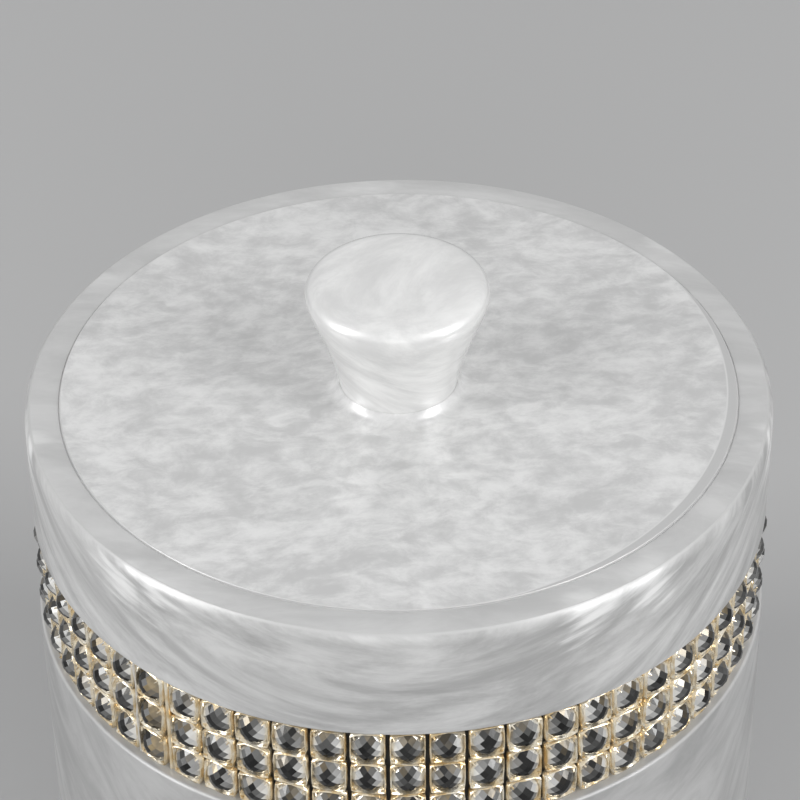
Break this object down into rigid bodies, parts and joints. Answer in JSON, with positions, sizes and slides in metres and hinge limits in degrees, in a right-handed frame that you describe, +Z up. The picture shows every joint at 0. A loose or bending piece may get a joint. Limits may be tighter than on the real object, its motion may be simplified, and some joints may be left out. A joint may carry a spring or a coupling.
{
  "type": "cotton swab box",
  "caption": "Round lidded canister of pearl resin for cotton swabs, with a crystal band under the lid and a turned knob on top.",
  "frame": {"origin": "on the axis of the jar, on the surface that its foot pad stands on", "axes": "+Z up along the axis of the jar, -Y towards the front, +X to the right seen from the front"},
  "size_m": [0.1012, 0.1012, 0.1204],
  "materials": {
    "pearl_resin": "polished pearl",
    "crystal": "cut and foiled",
    "setting_gold": "polished gold plate",
    "pad_foam": "matt foam"
  },
  "bodies": {
    "jar": {"jar_wall": "pearl_resin", "jar_floor": "pearl_resin", "foot_pad": "pad_foam", "setting_net": "setting_gold", "crystal_row_1": "crystal", "crystal_row_2": "crystal", "crystal_row_3": "crystal"},
    "lid": {"lid_ring": "pearl_resin", "lid_disc": "pearl_resin", "lid_locating_ring": "pearl_resin", "lid_knob": "pearl_resin"}
  },
  "joints": [
    {"name": "lid_lift", "type": "slide", "parent": "jar", "child": "lid", "axis": [0, 0, 1], "range_m": [0, 0.1]}
  ]
}
